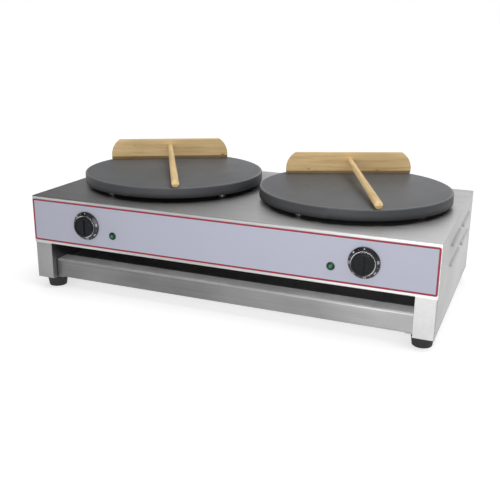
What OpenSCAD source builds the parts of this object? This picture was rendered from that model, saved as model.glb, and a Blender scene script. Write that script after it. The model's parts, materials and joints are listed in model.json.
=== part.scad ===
// Electric crepe maker: two round cast-iron plates on a folded stainless body with a
// wide drawer, thermostat knobs and pilot lamps on the fascia, and two wooden spreaders.
// X runs to the right, Y to the back and Z up; the feet stand on Z = 0.

/* [Body] */
// Width of the body
body_w = 860; // [820:5:920]
// Depth of the body, from the fascia to the rear panel
body_d = 450; // [430:5:500]
// Height of the body, from the lower edge of the posts to the deck
body_h = 182; // [170:1:210]
// Thickness of the stainless sheet
sheet = 1.2; // [0.8:0.1:1.5]
// Outer radius of every fold in the sheet
fold_r = 2.4; // [1.8:0.2:4]
// Height of the fascia at the front
fascia_h = 103; // [95:1:112]
// Depth of the stiffening return under the fascia
fascia_return = 14; // [10:1:20]
// Width of the post at each front corner
post_w = 40; // [38:1:50]
// Width of the flange that carries the rear panel
rear_flange = 20; // [14:1:30]
// Width of the flange under the deck
top_flange = 16; // [12:1:24]
// Thickness of the printed overlay on the fascia
overlay_t = 0.8; // [0.5:0.1:1]
// Margin of the overlay inside the top and bottom of the fascia
overlay_margin = 6; // [4:0.5:10]

/* [Louvres] */
// Length of one louvre
louvre_l = 110; // [80:5:130]
// Height of the louvre's hood
louvre_h = 9; // [6:0.5:12]
// How far the hood stands out
louvre_out = 4.5; // [3:0.5:6]
// Height of the lower row above the body's lower edge
louvre_low = 106; // [90:1:120]
// Height of the upper row above the body's lower edge
louvre_high = 146; // [135:1:160]
// Distance of the front column's middle behind the fascia
louvre_front = 185; // [150:5:220]
// Distance of the rear column's middle behind the fascia
louvre_rear = 335; // [300:5:370]
// Distance of the rear panel's two columns from the middle
louvre_back_x = 150; // [120:5:200]

/* [Plates] */
// Diameter of a cooking plate
plate_d = 400; // [350:10:410]
// Distance of each plate's centre from the middle of the body
plate_x = 212; // [206:1:220]
// Distance of the plates' centres behind the fascia
plate_y = 236; // [220:1:244]
// Height of the cooking face above the deck
plate_rise = 33; // [30:1:45]
// Height of the plate's rim
rim_h = 22; // [18:1:26]
// Thickness of the cooking face
plate_t = 13; // [10:1:16]
// Width of the rim's ring under the cooking face
rim_w = 12; // [8:1:16]
// Radius of the plate's upper edge
plate_edge_r = 3; // [1:0.5:5]
// Radius of the circle on which the legs stand
leg_circle_r = 167; // [155:1:172]
// Angle of the first leg from the right-hand side
leg_angle = -25; // [-45:1:45]
// Number of legs under each plate
leg_count = 4; // [3:1:4]
// Diameter of a leg
leg_d = 16; // [14:1:20]
// Radius of the opening in the deck under each plate
deck_opening_r = 42; // [41:1:60]

/* [Heating] */
// Diameter of the tubular heating element
element_d = 8.5; // [6:0.5:8.5]
// Radius of the element's outer loop
element_outer_r = 126; // [110:1:132]
// Radius of the element's inner loop
element_inner_r = 80; // [74:1:90]
// Radius of the clamp disc that presses the element to the plate
clamp_r = 146; // [140:1:150]
// Thickness of the clamp disc
clamp_t = 1.5; // [1:0.5:2]
// Diameter of the thermostat's bulb
bulb_d = 6; // [4:0.5:6]
// Length of the thermostat's bulb
bulb_l = 80; // [60:5:84]

/* [Controls] */
// Distance of each knob from the middle of the body
knob_x = 295; // [280:1:320]
// Height of the knobs above the body's lower edge
knob_z = 130.5; // [124:0.5:140]
// Diameter of the knob's skirt
skirt_d = 60; // [54:1:66]
// Diameter of the knob's grip
grip_d = 43; // [38:1:46]
// How far the knob stands out from the fascia
knob_out = 18; // [16:1:24]
// Diameter of the thermostat's shaft
shaft_d = 6; // [6:0.5:8]
// Number of flutes round the grip
flute_count = 24; // [12:1:30]
// Distance of each pilot lamp from the middle of the body
lamp_x = 233; // [215:1:240]
// Height of the pilot lamps above the body's lower edge
lamp_z = 115.5; // [108:0.5:124]
// Diameter of the pilot lamp's barrel
lamp_d = 12; // [10:0.5:14]

/* [Drawer] */
// How far the drawer's face lies behind the fascia
drawer_recess = 16; // [10:1:24]
// Height of the drawer's face
drawer_h = 39; // [34:1:46]
// Depth of the pull ledge along the top of the drawer's face
ledge_d = 38; // [18:1:44]
// Radius of the rounded fold along the front of the ledge
lip_r = 5; // [3:0.5:6]
// Height of the drawer's side and back walls
tray_h = 32; // [26:1:34]
// Thickness of the drawer's sheet
tray_t = 1; // [0.8:0.1:1.2]
// Gap between the drawer and the bay's walls
drawer_gap = 1.6; // [1:0.2:3]
// Width of the runner that carries the drawer
runner_w = 16; // [12:1:24]

/* [Feet] */
// Height of the rubber feet
foot_h = 25; // [20:1:35]
// Diameter of a foot at the top
foot_top_d = 45; // [38:1:50]
// Diameter of a foot where it stands
foot_base_d = 38; // [30:1:40]
// Distance of the feet from the sides of the body
foot_x = 26; // [22:1:34]
// Distance of the feet from the front and from the back of the body
foot_y = 35; // [30:1:60]

/* [Spreaders] */
// Length of the spreader's blade
blade_l = 280; // [200:5:290]
// Height of the blade
blade_h = 48.5; // [40:0.5:55]
// Thickness of the blade
blade_t = 9; // [7:0.5:12]
// Height of the bevel along the blade's working edge
bevel_h = 8.5; // [5:0.5:12]
// Depth that the bevel takes from the blade's thickness
bevel_d = 5; // [3:0.5:6]
// Radius of the blade's rounded ends
blade_end_r = 43; // [38:1:60]
// Height at which the rounded ends begin
blade_end_z = 12; // [10:1:16]
// Length of the handle in front of the blade
handle_l = 321; // [200:1:330]
// Diameter of the handle at the blade
handle_d = 12; // [10:0.5:13]
// Diameter of the handle at its free end
handle_end_d = 16; // [12:0.5:18]
// Height of the handle on the blade
handle_z = 33; // [28:1:36]
// Turn of the left spreader on its plate
left_turn = 30; // [-40:1:40]
// Turn of the right spreader on its plate
right_turn = 25; // [-40:1:40]
// Sideways place of the left spreader on its plate
left_shift = -6; // [-20:1:20]
// Sideways place of the right spreader on its plate
right_shift = 7; // [-20:1:20]
// Distance of the blades behind the plates' centres
blade_back = 124; // [100:1:132]

/* [Connections] */
// How far the cable gland stands out of the rear panel
gland_out = 20; // [16:1:26]
// Radius of the gland's bore
gland_bore_r = 7; // [5:0.5:7.5]
// Distance of the gland from the middle of the body
gland_x = 330; // [300:5:360]
// Height of the gland and the bonding stud above the body's lower edge
gland_z = 122; // [112:1:135]
// Distance of the bonding stud from the middle of the body
bond_x = 265; // [250:5:280]

/* [Fits] */
// Radial clearance of screws, shafts and other fits
fit = 0.05; // [0.02:0.01:0.1]
// Gap under the pieces that only rest on others
rest_gap = 0.3; // [0.2:0.05:0.4]

/* [Hidden] */

$fn = 64;
eps = 0.01;

// Body planes
half_w = body_w / 2;
front_y = (knob_out - body_d - gland_out) / 2;
rear_y = front_y + body_d;
base_z = foot_h;
deck_z = base_z + body_h;
under_deck = deck_z - sheet;
fascia_z = deck_z - fascia_h;
bay_x = half_w - post_w;
return_gap = 2;
return_half = bay_x - runner_w - return_gap;
ceiling_z = fascia_z + sheet;
louvre_c = (louvre_h * louvre_h - louvre_out * louvre_out) / (2 * louvre_out);
louvre_r = louvre_c + louvre_out;

// Plates
plate_top = deck_z + plate_rise;
plate_base = plate_top - rim_h;
plate_under = plate_top - plate_t;
plate_r = plate_d / 2;
centre_y = front_y + plate_y;
boss_r = 12;
boss_hole = 15;
boss_gap = 2;
plate_screw_r = 3;
hex_head_r = 5.8;
hex_head_h = 4;

// Heating
element_r = element_d / 2;
element_z = plate_under - element_r;
clamp_top = element_z - element_r;
element_bend = 8;
element_lead = 6;
terminal_in = 24;
outer_leg_y = 10;
inner_leg_y = 24;
terminal_drop = 44;
terminal_pin = 12;
clamp_bolt_r = 4;
bulb_x = -20;
bulb_y = -25;
capillary_r = 1;
capillary_bend = 4;
capillary_lead = 3;
capillary_rise = 12;
groove_lead = 10;

// Controls
knob_h = base_z + knob_z;
lamp_h = base_z + lamp_z;
shaft_r = shaft_d / 2;
shaft_flat = 0.8;
shaft_in = 20;
grip_face = 6;
shaft_out = knob_out - grip_face;
skirt_back = 1.6;
skirt_edge = 3.4;
skirt_front = 7.5;
skirt_wall = 2;
ring_w = 1.8;
ring_h = 2.6;
grip_r = grip_d / 2;
grip_edge = 2.5;
dish_d = 1.5;
thermostat_w = 40;
thermostat_h = 36;
thermostat_d = 38;
thermostat_pitch = 28;
thermostat_hole = 10;
thermostat_thread = 8;
terminal_tab = [6.3, 0.8, 9];
terminal_rows = [-12, -6];
small_screw_r = 2;
screw_way = 20;
small_head_r = 3.5;
small_head_h = 2;
lamp_r = lamp_d / 2;
lamp_flange_r = lamp_r + 2;
lamp_flange_t = 1.4;
lens_r = lamp_r + 1;
lens_rise = 1.6;
lens_rim = 0.8;
lamp_barrel = 28;
lamp_wall = 1;
lamp_tab = [0.8, 3, 8];
lamp_tab_x = 3;

// Connections
gland_thread_r = 10;
gland_hex_r = 13.5;
gland_flange = 6;
gland_neck = 14;
bond_r = 3;
bond_out = 18;
bond_gap = 0.5;
nut_h = 5;
gland_in = 10;
locknut_h = 4;
case_thread = 8;
case_heights = [20, 90, 160];
block_l = 64;
block_w = 26;
block_h = 20;
block_pitch = 12;
block_poles = 5;
block_back = 90;
block_edge = 5;
wire_r = 2.6;

// Drawer
drawer_y = front_y + drawer_recess;
drawer_half = bay_x - drawer_gap;
drawer_z = base_z + sheet + rest_gap;
drawer_top = drawer_z + drawer_h;
tray_clear = 20;
tray_back = rear_y - sheet - tray_clear;
hem = 6;

// Feet
foot_mid_x = half_w - foot_x;
foot_hole_r = 3;
foot_recess_r = 8;
foot_recess_h = 12;
foot_screw_up = 10;

// Spreaders
handle_end_r = handle_end_d / 2;
spreader_tilt = atan((handle_z - handle_end_r) / (handle_l + bevel_d));
spreader_z = plate_top + rest_gap - bevel_d * sin(spreader_tilt);

// Colours
steel = [0.74, 0.75, 0.76];
iron = [0.30, 0.30, 0.31];
black = [0.09, 0.09, 0.10];
wood = [0.85, 0.68, 0.45];

// ---- Helpers ----

// A section drawn in (Y, Z), run along X from x0
module along_x(x0, l) {
  translate([x0, 0, 0])
    rotate([90, 0, 90])
      linear_extrude(l)
        children();
}

// A section drawn in (X, Z), run along Y from y0
module along_y(y0, l) {
  translate([0, y0 + l, 0])
    rotate([90, 0, 0])
      linear_extrude(l)
        children();
}

// A turned profile (radius, distance) with its axis along -Y, from a point on the fascia
module facing_front(x, z) {
  translate([x, front_y, z])
    rotate([90, 0, 0])
      children();
}

// Rectangle from corner to corner
module box2(x0, y0, x1, y1) {
  translate([x0, y0])
    square([x1 - x0, y1 - y0]);
}

// Box from corner to corner
module box3(a, b) {
  translate(a)
    cube(b - a);
}

// Quarter ring of a fold about (x, y); quarter 0 faces +x +y, and the others follow leftwards
module fold2(x, y, quarter, r = fold_r) {
  translate([x, y])
    rotate(90 * quarter)
      intersection() {
        difference() {
          circle(r);
          circle(r - sheet);
        }
        square(r);
      }
}

// Hollow round bar
module tube(r_out, r_in, h) {
  difference() {
    cylinder(r = r_out, h = h);
    translate([0, 0, -eps])
      cylinder(r = r_in, h = h + 2 * eps);
  }
}

// Hexagonal head or nut with a bore
module hex(r, h, bore = 0) {
  difference() {
    cylinder(r = r, h = h, $fn = 6);
    if (bore > 0)
      translate([0, 0, -eps])
        cylinder(r = bore, h = h + 2 * eps);
  }
}

// Straight stretch of a round pipe of radius $pipe_r, with the children at its far end
module run(l) {
  cylinder(r = $pipe_r, h = l);
  translate([0, 0, l])
    children();
}

// Right-angled bend of radius $bend_r from +Z towards direction a, with the children at its end
module bend(a) {
  rotate(a) {
    translate([$bend_r, 0, 0])
      rotate([90, 0, 180])
        rotate_extrude(angle = 90)
          translate([$bend_r, 0])
            circle($pipe_r);
    translate([$bend_r, 0, $bend_r])
      rotate([0, 90, 0])
        children();
  }
}

// Children at each leg of a plate
module at_legs() {
  for (i = [0 : leg_count - 1])
    rotate(leg_angle + i * 360 / leg_count)
      translate([leg_circle_r, 0, 0])
        children();
}

// Children at the centre of the plate on side s, at height 0
module at_plate(s) {
  translate([s * plate_x, centre_y, 0])
    children();
}

// Louvre hood, its mouth down, standing out of the plane x = 0 towards -x, along Y
module louvre_hood() {
  along_y(-louvre_l / 2, louvre_l)
    intersection() {
      difference() {
        translate([louvre_c, 0])
          circle(louvre_r);
        translate([louvre_c, 0])
          circle(louvre_r - sheet);
      }
      box2(-louvre_out, 0, sheet, louvre_h);
    }
  for (end = [-louvre_l / 2, louvre_l / 2 - sheet])
    along_y(end, sheet)
      intersection() {
        translate([louvre_c, 0])
          circle(louvre_r);
        box2(-louvre_out, 0, sheet, louvre_h);
      }
}

// Slot behind a louvre's hood
module louvre_slot() {
  box3([-eps, -louvre_l / 2 + sheet, 0], [sheet + eps, louvre_l / 2 - sheet, louvre_h - sheet]);
}

// Places of the louvres on a side panel: distance behind the fascia, height over the floor
module at_side_louvres() {
  for (y = [louvre_front, louvre_rear], z = [louvre_low, louvre_high])
    translate([-half_w, front_y + y, base_z + z - louvre_h / 2])
      children();
}

// Screws of the rear panel on the left, each pointing inwards from the panel's outer face
module at_case_screws() {
  for (z = case_heights)
    translate([-half_w + rear_flange / 2 + fold_r / 2, rear_y, base_z + z])
      rotate([-90, 0, 0])
        children();
}

// Screws that hold the thermostat on side s
module at_thermostat_screws(s) {
  facing_front(s * knob_x, knob_h)
    for (x = [-thermostat_pitch / 2, thermostat_pitch / 2])
      translate([x, 0, 0])
        children();
}

// The gland and the bonding stud, each with +Z out of the rear panel
module at_gland() {
  translate([gland_x, rear_y, base_z + gland_z])
    rotate([-90, 0, 0])
      children();
}

module at_bond() {
  translate([bond_x, rear_y, base_z + gland_z])
    rotate([-90, 0, 0])
      children();
}

// Places of the louvres on the rear panel
module at_rear_louvres() {
  for (x = [-louvre_back_x, louvre_back_x], z = [louvre_low, louvre_high])
    translate([x, rear_y, base_z + z - louvre_h / 2])
      rotate(-90)
        children();
}

// ---- Housing ----

// Deck and fascia folded from one sheet
module top_shell() {
  color(steel)
    difference() {
      union() {
        along_x(-half_w, body_w) {
          box2(front_y + fold_r, under_deck, rear_y, deck_z);
          fold2(front_y + fold_r, deck_z - fold_r, 1);
          box2(front_y, fascia_z + fold_r, front_y + sheet, deck_z - fold_r);
        }
        // Between the posts the lower edge is folded back, and over the posts it ends flat
        along_x(-bay_x + fit, 2 * (bay_x - fit)) {
          fold2(front_y + fold_r, fascia_z + fold_r, 2);
          box2(front_y + fold_r, fascia_z, front_y + fascia_return, fascia_z + sheet);
        }
        for (s = [0, 1])
          mirror([s, 0, 0])
            box3([-half_w, front_y, fascia_z], [-bay_x, front_y + sheet, fascia_z + fold_r]);
      }
      for (s = [-1, 1]) {
        at_plate(s)
          translate([0, 0, under_deck - 1]) {
            cylinder(r = deck_opening_r, h = sheet + 2);
            at_legs()
              cylinder(r = plate_screw_r + 3 * fit, h = sheet + 2);
          }
        facing_front(s * knob_x, knob_h)
          translate([0, 0, -sheet - 1])
            cylinder(r = 2 * shaft_r, h = sheet + 2);
        facing_front(s * lamp_x, lamp_h)
          translate([0, 0, -sheet - 1])
            cylinder(r = lamp_r + fit, h = sheet + 2);
        at_thermostat_screws(s)
          translate([0, 0, -sheet - 1])
            cylinder(r = small_screw_r + fit, h = sheet + 2);
      }
    }
}

// Left side panel with the corner post, the flanges and the louvres
module side_panel() {
  color(steel)
    difference() {
      union() {
        along_y(front_y + sheet + fold_r, body_d - 2 * sheet - 2 * fold_r) {
          box2(-half_w, base_z + fold_r, -half_w + sheet, under_deck - fold_r);
          fold2(-half_w + fold_r, under_deck - fold_r, 1);
          box2(-half_w + fold_r, under_deck - sheet, -half_w + top_flange, under_deck);
          fold2(-half_w + fold_r, base_z + fold_r, 2);
          box2(-half_w + fold_r, base_z, -bay_x - sheet, base_z + sheet);
        }
        translate([0, 0, base_z])
          linear_extrude(body_h - fold_r) {
            fold2(-half_w + fold_r, front_y + sheet + fold_r, 2);
            box2(-half_w + fold_r, front_y + sheet, -bay_x, front_y + 2 * sheet);
            fold2(-half_w + fold_r, rear_y - sheet - fold_r, 1);
            box2(-half_w + fold_r, rear_y - 2 * sheet, -half_w + rear_flange, rear_y - sheet);
          }
        at_side_louvres()
          louvre_hood();
      }
      at_side_louvres()
        louvre_slot();
      for (y = [foot_y, body_d - foot_y])
        translate([-foot_mid_x, front_y + y, base_z - 1])
          cylinder(r = foot_hole_r + 3 * fit, h = sheet + 2);
      at_case_screws()
        cylinder(r = small_screw_r + fit, h = screw_way, center = true);
    }
}

module left_side_panel() {
  side_panel();
}

module right_side_panel() {
  mirror([1, 0, 0])
    side_panel();
}

// Rear panel with louvres, the gland's hole and the bonding stud's hole
module rear_panel() {
  color(steel)
    difference() {
      union() {
        along_x(-half_w, body_w)
          box2(rear_y - sheet, base_z + fold_r, rear_y, under_deck);
        // The lower return fits between the drawer's runners
        along_x(-return_half, 2 * return_half) {
          fold2(rear_y - fold_r, base_z + fold_r, 3);
          box2(rear_y - rear_flange, base_z, rear_y - fold_r, base_z + sheet);
        }
        for (s = [0, 1])
          mirror([s, 0, 0])
            box3([-half_w, rear_y - sheet, base_z], [-return_half, rear_y, base_z + fold_r]);
        at_rear_louvres()
          louvre_hood();
      }
      at_rear_louvres()
        louvre_slot();
      at_gland()
        cylinder(r = gland_thread_r + fit, h = 10, center = true);
      at_bond()
        cylinder(r = bond_r + fit, h = 10, center = true);
      at_case_screws()
        cylinder(r = small_screw_r + fit, h = screw_way, center = true);
      mirror([1, 0, 0])
        at_case_screws()
          cylinder(r = small_screw_r + fit, h = screw_way, center = true);
    }
}

// Inverted channel that closes the heated compartment and carries the drawer
module drawer_housing() {
  color(steel)
    along_y(front_y + 2 * sheet, body_d - 3 * sheet) {
      for (s = [0, 1])
        mirror([s, 0]) {
          box2(-bay_x - sheet + fold_r, ceiling_z, 0, ceiling_z + sheet);
          fold2(-bay_x - sheet + fold_r, ceiling_z + sheet - fold_r, 1);
          box2(-bay_x - sheet, base_z + fold_r, -bay_x, ceiling_z + sheet - fold_r);
          fold2(-bay_x - sheet + fold_r, base_z + fold_r, 2);
        }
    }
  // The runners start behind the drawer's face
  color(steel)
    along_y(drawer_y, rear_y - sheet - drawer_y)
      for (s = [0, 1])
        mirror([s, 0])
          box2(-bay_x - sheet + fold_r, base_z, -bay_x + runner_w, base_z + sheet);
}

// Overlay on the fascia with holes for the shafts, screws and lamps
module fascia_overlay() {
  z0 = fascia_z + overlay_margin;
  z1 = deck_z - overlay_margin;
  x1 = half_w - 1;
  corner = 4;
  color([0.80, 0.80, 0.88])
    difference() {
      along_y(front_y - overlay_t, overlay_t) {
        box2(-x1, z0 + corner, x1, z1 - corner);
        box2(-x1 + corner, z0, x1 - corner, z1);
        for (x = [-x1 + corner, x1 - corner], z = [z0 + corner, z1 - corner])
          translate([x, z])
            circle(corner);
      }
      for (s = [-1, 1]) {
        facing_front(s * knob_x, knob_h)
          translate([0, 0, -1])
            cylinder(r = 2 * shaft_r, h = overlay_t + 2);
        facing_front(s * lamp_x, lamp_h)
          translate([0, 0, -1])
            cylinder(r = lamp_r + fit, h = overlay_t + 2);
        at_thermostat_screws(s)
          translate([0, 0, -1])
            cylinder(r = small_head_r + 0.5, h = overlay_t + 2);
      }
    }
}

// ---- Plates and heating ----

// Cast-iron plate with a rim, leg bosses, a clamp boss and a groove for the bulb
module plate(s) {
  low_edge = 2;
  color(iron)
    at_plate(s)
      difference() {
        union() {
          rotate_extrude($fn = 128) {
            box2(0, plate_under, plate_r - plate_edge_r, plate_top);
            box2(0, plate_under, plate_r, plate_top - plate_edge_r);
            translate([plate_r - plate_edge_r, plate_top - plate_edge_r])
              circle(plate_edge_r);
            box2(plate_r - rim_w, plate_base, plate_r - low_edge, plate_under + eps);
            box2(plate_r - rim_w, plate_base + low_edge, plate_r, plate_under + eps);
            translate([plate_r - low_edge, plate_base + low_edge])
              circle(low_edge);
          }
          at_legs()
            translate([0, 0, plate_base])
              cylinder(r = boss_r, h = rim_h - plate_t + eps);
          translate([0, 0, clamp_top])
            cylinder(r = boss_r, h = plate_under - clamp_top + eps);
        }
        at_legs()
          translate([0, 0, plate_base - eps])
            cylinder(r = plate_screw_r + fit, h = boss_hole);
        translate([0, 0, clamp_top - eps])
          cylinder(r = clamp_bolt_r + fit, h = boss_hole + 2);
        translate([bulb_x, bulb_y - groove_lead, plate_under])
          rotate([-90, 0, 0])
            cylinder(r = bulb_d / 2 + fit, h = bulb_l + groove_lead + fit);
      }
}

module left_plate() {
  plate(-1);
}

module right_plate() {
  plate(1);
}

// Spacer legs between the deck and a plate
module plate_legs(s) {
  color([0.80, 0.81, 0.82])
    at_plate(s)
      at_legs()
        translate([0, 0, deck_z])
          tube(leg_d / 2, plate_screw_r + 3 * fit, plate_base - deck_z);
}

module left_plate_legs() {
  plate_legs(-1);
}

module right_plate_legs() {
  plate_legs(1);
}

// Screws from under the deck, through the legs, into the plates
module plate_screws() {
  color(steel)
    for (s = [-1, 1])
      at_plate(s)
        at_legs() {
          translate([0, 0, under_deck - hex_head_h])
            hex(hex_head_r, hex_head_h);
          translate([0, 0, under_deck - eps])
            cylinder(r = plate_screw_r, h = plate_base - under_deck + boss_hole - 2);
        }
}

// One loop of the heating element: a half circle on the left, an arc at each corner on the
// right, and ends that turn inwards side by side, then down
module element_loop(loop_r, leg_y) {
  side = leg_y + element_bend + element_lead;
  translate([0, 0, element_z]) {
    rotate(90)
      rotate_extrude(angle = 180, $fn = 96)
        translate([loop_r, 0])
          circle(element_r);
    for (m = [0, 1])
      mirror([0, m, 0]) {
        translate([0, loop_r, 0])
          rotate([0, 90, 0])
            cylinder(r = element_r, h = side);
        translate([side, side, 0])
          rotate_extrude(angle = 90, $fn = 96)
            translate([loop_r - side, 0])
              circle(element_r);
        translate([loop_r, side, 0])
          rotate([90, 0, 0])
            cylinder(r = element_r, h = element_lead);
        translate([loop_r - element_bend, leg_y + element_bend, 0])
          rotate(-90)
            rotate_extrude(angle = 90)
              translate([element_bend, 0])
                circle(element_r);
        translate([loop_r - element_bend, leg_y, 0])
          rotate([0, -90, 0])
            run(loop_r - terminal_in - 2 * element_bend, $pipe_r = element_r, $bend_r = element_bend)
              bend(180)
                run(terminal_drop - element_bend)
                  cylinder(r = element_r / 2, h = terminal_pin);
      }
  }
}

// Tubular element of two loops under a plate
module heating_element(s) {
  color([0.42, 0.40, 0.38])
    at_plate(s) {
      element_loop(element_outer_r, outer_leg_y);
      element_loop(element_inner_r, inner_leg_y);
    }
}

module left_heating_element() {
  heating_element(-1);
}

module right_heating_element() {
  heating_element(1);
}

// Disc that clamps the element against the plate
module element_clamp(s) {
  slot_half = inner_leg_y + element_r + 2;
  color([0.66, 0.67, 0.68])
    at_plate(s)
      difference() {
        translate([0, 0, clamp_top - clamp_t])
          cylinder(r = clamp_r, h = clamp_t, $fn = 96);
        translate([0, 0, clamp_top - clamp_t - 1])
          cylinder(r = clamp_bolt_r + 3 * fit, h = clamp_t + 2);
        box3([terminal_in - element_r - 2, -slot_half, clamp_top - clamp_t - 1],
             [terminal_in + element_bend + 1, slot_half, clamp_top + 1]);
        translate([bulb_x, bulb_y - capillary_lead - capillary_bend, clamp_top - clamp_t - 1])
          cylinder(r = 4 * capillary_r, h = clamp_t + 2);
        at_legs()
          translate([0, 0, clamp_top - clamp_t - 1])
            cylinder(r = boss_r + boss_gap, h = clamp_t + 2);
      }
}

module left_element_clamp() {
  element_clamp(-1);
}

module right_element_clamp() {
  element_clamp(1);
}

// Bolts that hold the clamp discs
module clamp_bolts() {
  color(steel)
    for (s = [-1, 1])
      at_plate(s)
        translate([0, 0, clamp_top - clamp_t]) {
          translate([0, 0, -hex_head_h])
            hex(1.6 * clamp_bolt_r, hex_head_h);
          translate([0, 0, -eps])
            cylinder(r = clamp_bolt_r, h = clamp_t + boss_hole);
        }
}

// ---- Controls ----

// Thermostat behind the fascia, with its terminals at the back
module thermostat(s) {
  color([0.86, 0.84, 0.78])
    facing_front(s * knob_x, knob_h)
      difference() {
        union() {
          translate([-thermostat_w / 2, -thermostat_h / 2, -sheet - thermostat_d])
            cube([thermostat_w, thermostat_h, thermostat_d]);
          for (y = terminal_rows)
            translate([-terminal_tab.x / 2, y, -sheet - thermostat_d - terminal_tab.z])
              cube(terminal_tab + [0, 0, eps]);
        }
        translate([0, 0, -sheet - shaft_in - 1])
          cylinder(r = shaft_r + fit, h = shaft_in + 2);
        for (x = [-thermostat_pitch / 2, thermostat_pitch / 2])
          translate([x, 0, -sheet - thermostat_hole])
            cylinder(r = small_screw_r + fit, h = thermostat_hole + 1);
      }
}

module left_thermostat() {
  thermostat(-1);
}

module right_thermostat() {
  thermostat(1);
}

// Bulb in the plate's groove; its capillary drops through the deck and runs to the thermostat
module capillary(s) {
  x0 = s * plate_x + bulb_x;
  y0 = centre_y + bulb_y;
  z1 = knob_h + capillary_rise;
  turned = 2 * capillary_bend;
  drop = plate_under - z1 - turned;
  across = abs(s * knob_x - x0) - turned;
  forward = y0 - capillary_lead - turned - (front_y + sheet + thermostat_d);
  color([0.78, 0.50, 0.32]) {
    translate([x0, y0, plate_under])
      rotate([-90, 0, 0])
        cylinder(r = bulb_d / 2, h = bulb_l);
    translate([x0, y0, plate_under])
      rotate([90, 0, 0])
        run(capillary_lead, $pipe_r = capillary_r, $bend_r = capillary_bend)
          bend(-90)
            run(drop)
              bend(90 * s)
                run(across)
                  bend(90 * s)
                    run(forward);
  }
}

module left_capillary() {
  capillary(-1);
}

module right_capillary() {
  capillary(1);
}

// Screws that hold the thermostats, hidden by the knobs' skirts
module thermostat_screws() {
  color(steel)
    for (s = [-1, 1])
      at_thermostat_screws(s) {
        cylinder(r = small_head_r, h = small_head_h);
        translate([0, 0, -sheet - thermostat_thread])
          cylinder(r = small_screw_r, h = sheet + thermostat_thread + eps);
      }
}

// Barrel and bezel of a pilot lamp
module lamp_body(s) {
  color(black)
    facing_front(s * lamp_x, lamp_h) {
      difference() {
        union() {
          translate([0, 0, -lamp_barrel])
            cylinder(r = lamp_r, h = lamp_barrel + overlay_t + eps);
          translate([0, 0, overlay_t])
            cylinder(r = lamp_flange_r, h = lamp_flange_t);
        }
        translate([0, 0, -lamp_r])
          cylinder(r = lamp_r - lamp_wall, h = lamp_barrel);
      }
      for (x = [-lamp_tab_x, lamp_tab_x])
        translate([x - lamp_tab.x / 2, -lamp_tab.y / 2, -lamp_barrel - lamp_tab.z])
          cube(lamp_tab + [0, 0, eps]);
    }
}

module left_lamp_body() {
  lamp_body(-1);
}

module right_lamp_body() {
  lamp_body(1);
}

// Domed lens of a pilot lamp
module lamp_lens(s) {
  seat = overlay_t + lamp_flange_t;
  dome_r = (lens_r * lens_r + lens_rise * lens_rise) / (2 * lens_rise);
  color([0.10, 0.55, 0.25])
    facing_front(s * lamp_x, lamp_h)
      rotate_extrude() {
        box2(0, -lamp_r / 2, lamp_r - lamp_wall - fit, seat);
        box2(0, seat, lens_r, seat + lens_rim);
        intersection() {
          translate([0, seat + lens_rim + lens_rise - dome_r])
            circle(dome_r, $fn = 128);
          box2(0, seat, lens_r, seat + lens_rim + lens_rise + 1);
        }
      }
}

module left_lamp_lens() {
  lamp_lens(-1);
}

module right_lamp_lens() {
  lamp_lens(1);
}

// Thermostat shaft with a flat at its outer end
module shaft(s) {
  color(steel)
    facing_front(s * knob_x, knob_h)
      difference() {
        translate([0, 0, -sheet - shaft_in])
          cylinder(r = shaft_r, h = sheet + shaft_in + shaft_out);
        translate([-shaft_r, shaft_r - shaft_flat, skirt_front])
          cube([2 * shaft_r, shaft_r, shaft_out]);
      }
}

// Dial skirt with a bevelled face
module knob_skirt(s) {
  top_r = grip_r + ring_w + 0.4;
  color(black)
    facing_front(s * knob_x, knob_h)
      rotate_extrude($fn = 96)
        polygon([
          [shaft_r + fit, skirt_front], [top_r, skirt_front], [skirt_d / 2, skirt_edge],
          [skirt_d / 2, skirt_back], [skirt_d / 2 - skirt_wall, skirt_back],
          [top_r - 1, skirt_front - skirt_wall], [shaft_r + fit, skirt_front - skirt_wall]
        ]);
}

// Bright ring round the foot of the grip
module knob_ring(s) {
  color([0.82, 0.83, 0.84])
    facing_front(s * knob_x, knob_h)
      translate([0, 0, skirt_front])
        tube(grip_r + ring_w, grip_r + fit, ring_h);
}

// Fluted grip with a dished face and a pointer bar
module knob_grip(s) {
  rim_u = knob_out - 1;
  dish_r = grip_r - grip_edge - 3;
  bar_w = 7;
  flute_r = 1.6;
  flute_off = 0.8;
  flute_gap = 0.5;
  color(black)
    facing_front(s * knob_x, knob_h)
      difference() {
        union() {
          rotate_extrude($fn = 96) {
            box2(0, skirt_front, grip_r, rim_u - grip_edge);
            box2(0, skirt_front, dish_r, rim_u - dish_d);
            difference() {
              union() {
                box2(dish_r, skirt_front, grip_r - grip_edge, rim_u);
                translate([grip_r - grip_edge, rim_u - grip_edge])
                  circle(grip_edge);
              }
              box2(0, rim_u - dish_d, dish_r, rim_u + 1);
            }
          }
          box3([-bar_w / 2, -dish_r, rim_u - dish_d - 1], [bar_w / 2, dish_r, knob_out]);
        }
        difference() {
          translate([0, 0, skirt_front - 1])
            cylinder(r = shaft_r + fit, h = shaft_out - skirt_front + 2);
          translate([-shaft_r - 1, shaft_r - shaft_flat + fit, skirt_front - 2])
            cube([2 * shaft_r + 2, shaft_r + 2, shaft_out]);
        }
        for (i = [0 : flute_count - 1])
          rotate(i * 360 / flute_count)
            translate([grip_r + flute_off, 0, skirt_front + ring_h + flute_gap])
              cylinder(r = flute_r, h = rim_u - grip_edge - skirt_front - ring_h - 2 * flute_gap,
                       $fn = 24);
      }
}

module left_shaft() {
  shaft(-1);
}

module left_knob_skirt() {
  knob_skirt(-1);
}

module left_knob_ring() {
  knob_ring(-1);
}

module left_knob_grip() {
  knob_grip(-1);
}

module right_shaft() {
  shaft(1);
}

module right_knob_skirt() {
  knob_skirt(1);
}

module right_knob_ring() {
  knob_ring(1);
}

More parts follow.
